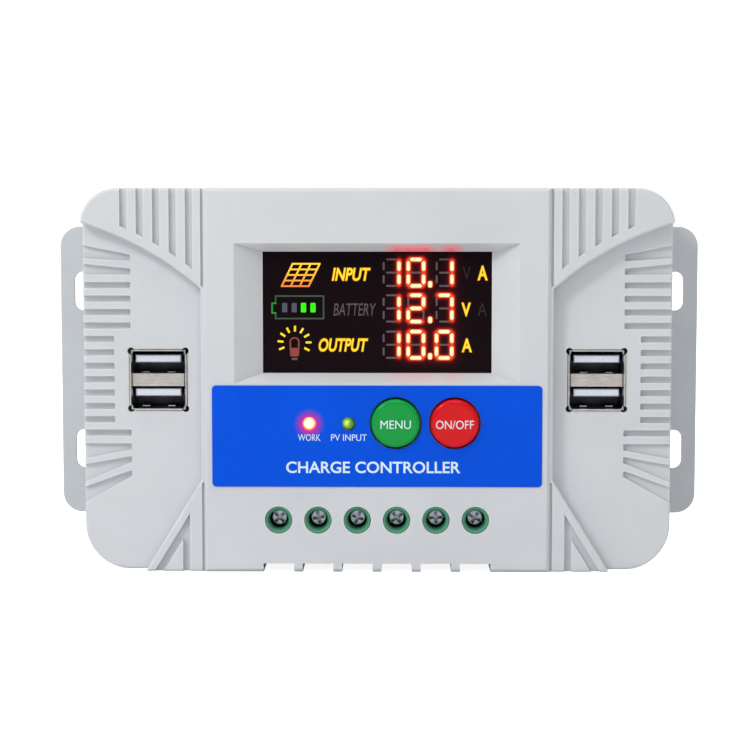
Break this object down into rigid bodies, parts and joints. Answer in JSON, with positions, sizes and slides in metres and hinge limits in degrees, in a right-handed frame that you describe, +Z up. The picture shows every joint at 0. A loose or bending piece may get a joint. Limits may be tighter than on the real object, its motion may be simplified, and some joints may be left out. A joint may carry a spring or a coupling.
{
  "type": "charge controller",
  "caption": "Wall-mounted solar charge controller with a lit numeric display, two push buttons, stacked USB sockets at each side and a row of screw terminals.",
  "frame": {"origin": "centre of the mounting plate's rear face, which lies on the wall", "axes": "+X to the right seen from the front, +Y into the wall, +Z up; the front faces -Y"},
  "size_m": [0.1624, 0.0362, 0.0926],
  "materials": {
    "housing_plastic": "fine moulded, satin light grey",
    "cover_plastic": "fine moulded, satin light grey",
    "plate_metal": "smooth powder coat, light grey",
    "zinc_screw": "bright zinc plated",
    "label_blue": "printed polyester film",
    "film_black": "smoked glossy film",
    "reflector_grey": "moulded reflector",
    "board_green": "solder-masked glass epoxy",
    "solder": "tinned",
    "button_green": "moulded, glossy",
    "button_red": "moulded, glossy",
    "switch_black": "moulded",
    "switch_steel": "pressed sheet",
    "led_red": "diffused lens, lit",
    "led_green": "tinted lens, lit",
    "spacer_black": "extruded tube",
    "terminal_green": "moulded, satin",
    "clamp_steel": "zinc plated",
    "contact_brass": "tin-washed",
    "usb_nickel": "nickel plated sheet",
    "usb_white": "moulded",
    "usb_gold": "gold flashed",
    "aluminium": "milled",
    "pad_grey": "silicone sheet",
    "epoxy_black": "moulded epoxy",
    "can_sleeve": "shrunk sleeve",
    "ferrite_core": "coated powder core",
    "copper_wire": "enamelled copper",
    "shunt_alloy": "bare strip",
    "relay_black": "moulded case",
    "print_white": "screen print",
    "segment_lit": "lit segment",
    "icon_amber": "lit icon",
    "icon_green": "lit icon",
    "segment_dark": "unlit segment"
  },
  "bodies": {
    "case": {"front_housing": "housing_plastic", "rear_cover": "cover_plastic", "mounting_plate": "plate_metal", "case_screws": "zinc_screw", "label_overlay": "label_blue", "display_module": "reflector_grey", "display_film": "film_black", "display_pins": "solder", "display_board": "board_green", "display_board_screws": "zinc_screw", "work_led": "led_red", "solar_led": "led_green", "led_spacers": "spacer_black", "led_leads": "solder", "main_board": "board_green", "main_board_screws": "zinc_screw", "header_pins": "contact_brass", "header_base": "switch_black", "header_socket": "switch_black", "terminal_block": "terminal_green", "contact_bars": "contact_brass", "heat_spreader": "aluminium", "spreader_screws": "zinc_screw", "insulating_pad": "pad_grey", "mosfet_tabs": "solder", "mosfet_bodies": "epoxy_black", "mosfet_leads": "solder", "mosfet_screws": "zinc_screw", "capacitors": "can_sleeve", "inductor_cores": "ferrite_core", "inductor_windings": "copper_wire", "chips": "epoxy_black", "shunt_resistors": "shunt_alloy", "power_relay": "relay_black", "switch_bodies": "switch_black", "switch_tops": "switch_steel", "switch_domes": "switch_steel", "usb_shell_left": "usb_nickel", "usb_shell_right": "usb_nickel", "usb_insulator_left": "usb_white", "usb_insulator_right": "usb_white", "usb_contacts_left": "usb_gold", "usb_contacts_right": "usb_gold"},
    "menu_key": {"menu_button": "button_green", "menu_plunger": "switch_black"},
    "power_key": {"power_button": "button_red", "power_plunger": "switch_black"},
    "screw_1": {"terminal_screw_1": "zinc_screw"},
    "clamp_1": {"wire_clamp_1": "clamp_steel"},
    "screw_2": {"terminal_screw_2": "zinc_screw"},
    "clamp_2": {"wire_clamp_2": "clamp_steel"},
    "screw_3": {"terminal_screw_3": "zinc_screw"},
    "clamp_3": {"wire_clamp_3": "clamp_steel"},
    "screw_4": {"terminal_screw_4": "zinc_screw"},
    "clamp_4": {"wire_clamp_4": "clamp_steel"},
    "screw_5": {"terminal_screw_5": "zinc_screw"},
    "clamp_5": {"wire_clamp_5": "clamp_steel"},
    "screw_6": {"terminal_screw_6": "zinc_screw"},
    "clamp_6": {"wire_clamp_6": "clamp_steel"}
  },
  "joints": [
    {"name": "menu_press", "type": "slide", "parent": "case", "child": "menu_key", "axis": [0, 1, 0], "range_m": [0, 0.0005], "stiffness_N_per_m": 400, "springref_m": -0.002},
    {"name": "power_press", "type": "slide", "parent": "case", "child": "power_key", "axis": [0, 1, 0], "range_m": [0, 0.0005], "stiffness_N_per_m": 400, "springref_m": -0.002},
    {"name": "screw_turn_1", "type": "hinge", "parent": "case", "child": "screw_1", "pos_m": [-0.02375, -0.0276, -0.0336], "axis": [0, 1, 0], "range_deg": [0, 1800]},
    {"name": "clamp_rise_1", "type": "slide", "parent": "case", "child": "clamp_1", "axis": [0, -1, 0], "range_m": [0, 0.003]},
    {"name": "screw_turn_2", "type": "hinge", "parent": "case", "child": "screw_2", "pos_m": [-0.01425, -0.0276, -0.0336], "axis": [0, 1, 0], "range_deg": [0, 1800]},
    {"name": "clamp_rise_2", "type": "slide", "parent": "case", "child": "clamp_2", "axis": [0, -1, 0], "range_m": [0, 0.003]},
    {"name": "screw_turn_3", "type": "hinge", "parent": "case", "child": "screw_3", "pos_m": [-0.00475, -0.0276, -0.0336], "axis": [0, 1, 0], "range_deg": [0, 1800]},
    {"name": "clamp_rise_3", "type": "slide", "parent": "case", "child": "clamp_3", "axis": [0, -1, 0], "range_m": [0, 0.003]},
    {"name": "screw_turn_4", "type": "hinge", "parent": "case", "child": "screw_4", "pos_m": [0.00475, -0.0276, -0.0336], "axis": [0, 1, 0], "range_deg": [0, 1800]},
    {"name": "clamp_rise_4", "type": "slide", "parent": "case", "child": "clamp_4", "axis": [0, -1, 0], "range_m": [0, 0.003]},
    {"name": "screw_turn_5", "type": "hinge", "parent": "case", "child": "screw_5", "pos_m": [0.01425, -0.0276, -0.0336], "axis": [0, 1, 0], "range_deg": [0, 1800]},
    {"name": "clamp_rise_5", "type": "slide", "parent": "case", "child": "clamp_5", "axis": [0, -1, 0], "range_m": [0, 0.003]},
    {"name": "screw_turn_6", "type": "hinge", "parent": "case", "child": "screw_6", "pos_m": [0.02375, -0.0276, -0.0336], "axis": [0, 1, 0], "range_deg": [0, 1800]},
    {"name": "clamp_rise_6", "type": "slide", "parent": "case", "child": "clamp_6", "axis": [0, -1, 0], "range_m": [0, 0.003]}
  ],
  "couplings": [
    {"joint": "screw_turn_1", "follows": "clamp_rise_1", "rad_per_m": 10472},
    {"joint": "screw_turn_2", "follows": "clamp_rise_2", "rad_per_m": 10472},
    {"joint": "screw_turn_3", "follows": "clamp_rise_3", "rad_per_m": 10472},
    {"joint": "screw_turn_4", "follows": "clamp_rise_4", "rad_per_m": 10472},
    {"joint": "screw_turn_5", "follows": "clamp_rise_5", "rad_per_m": 10472},
    {"joint": "screw_turn_6", "follows": "clamp_rise_6", "rad_per_m": 10472}
  ]
}
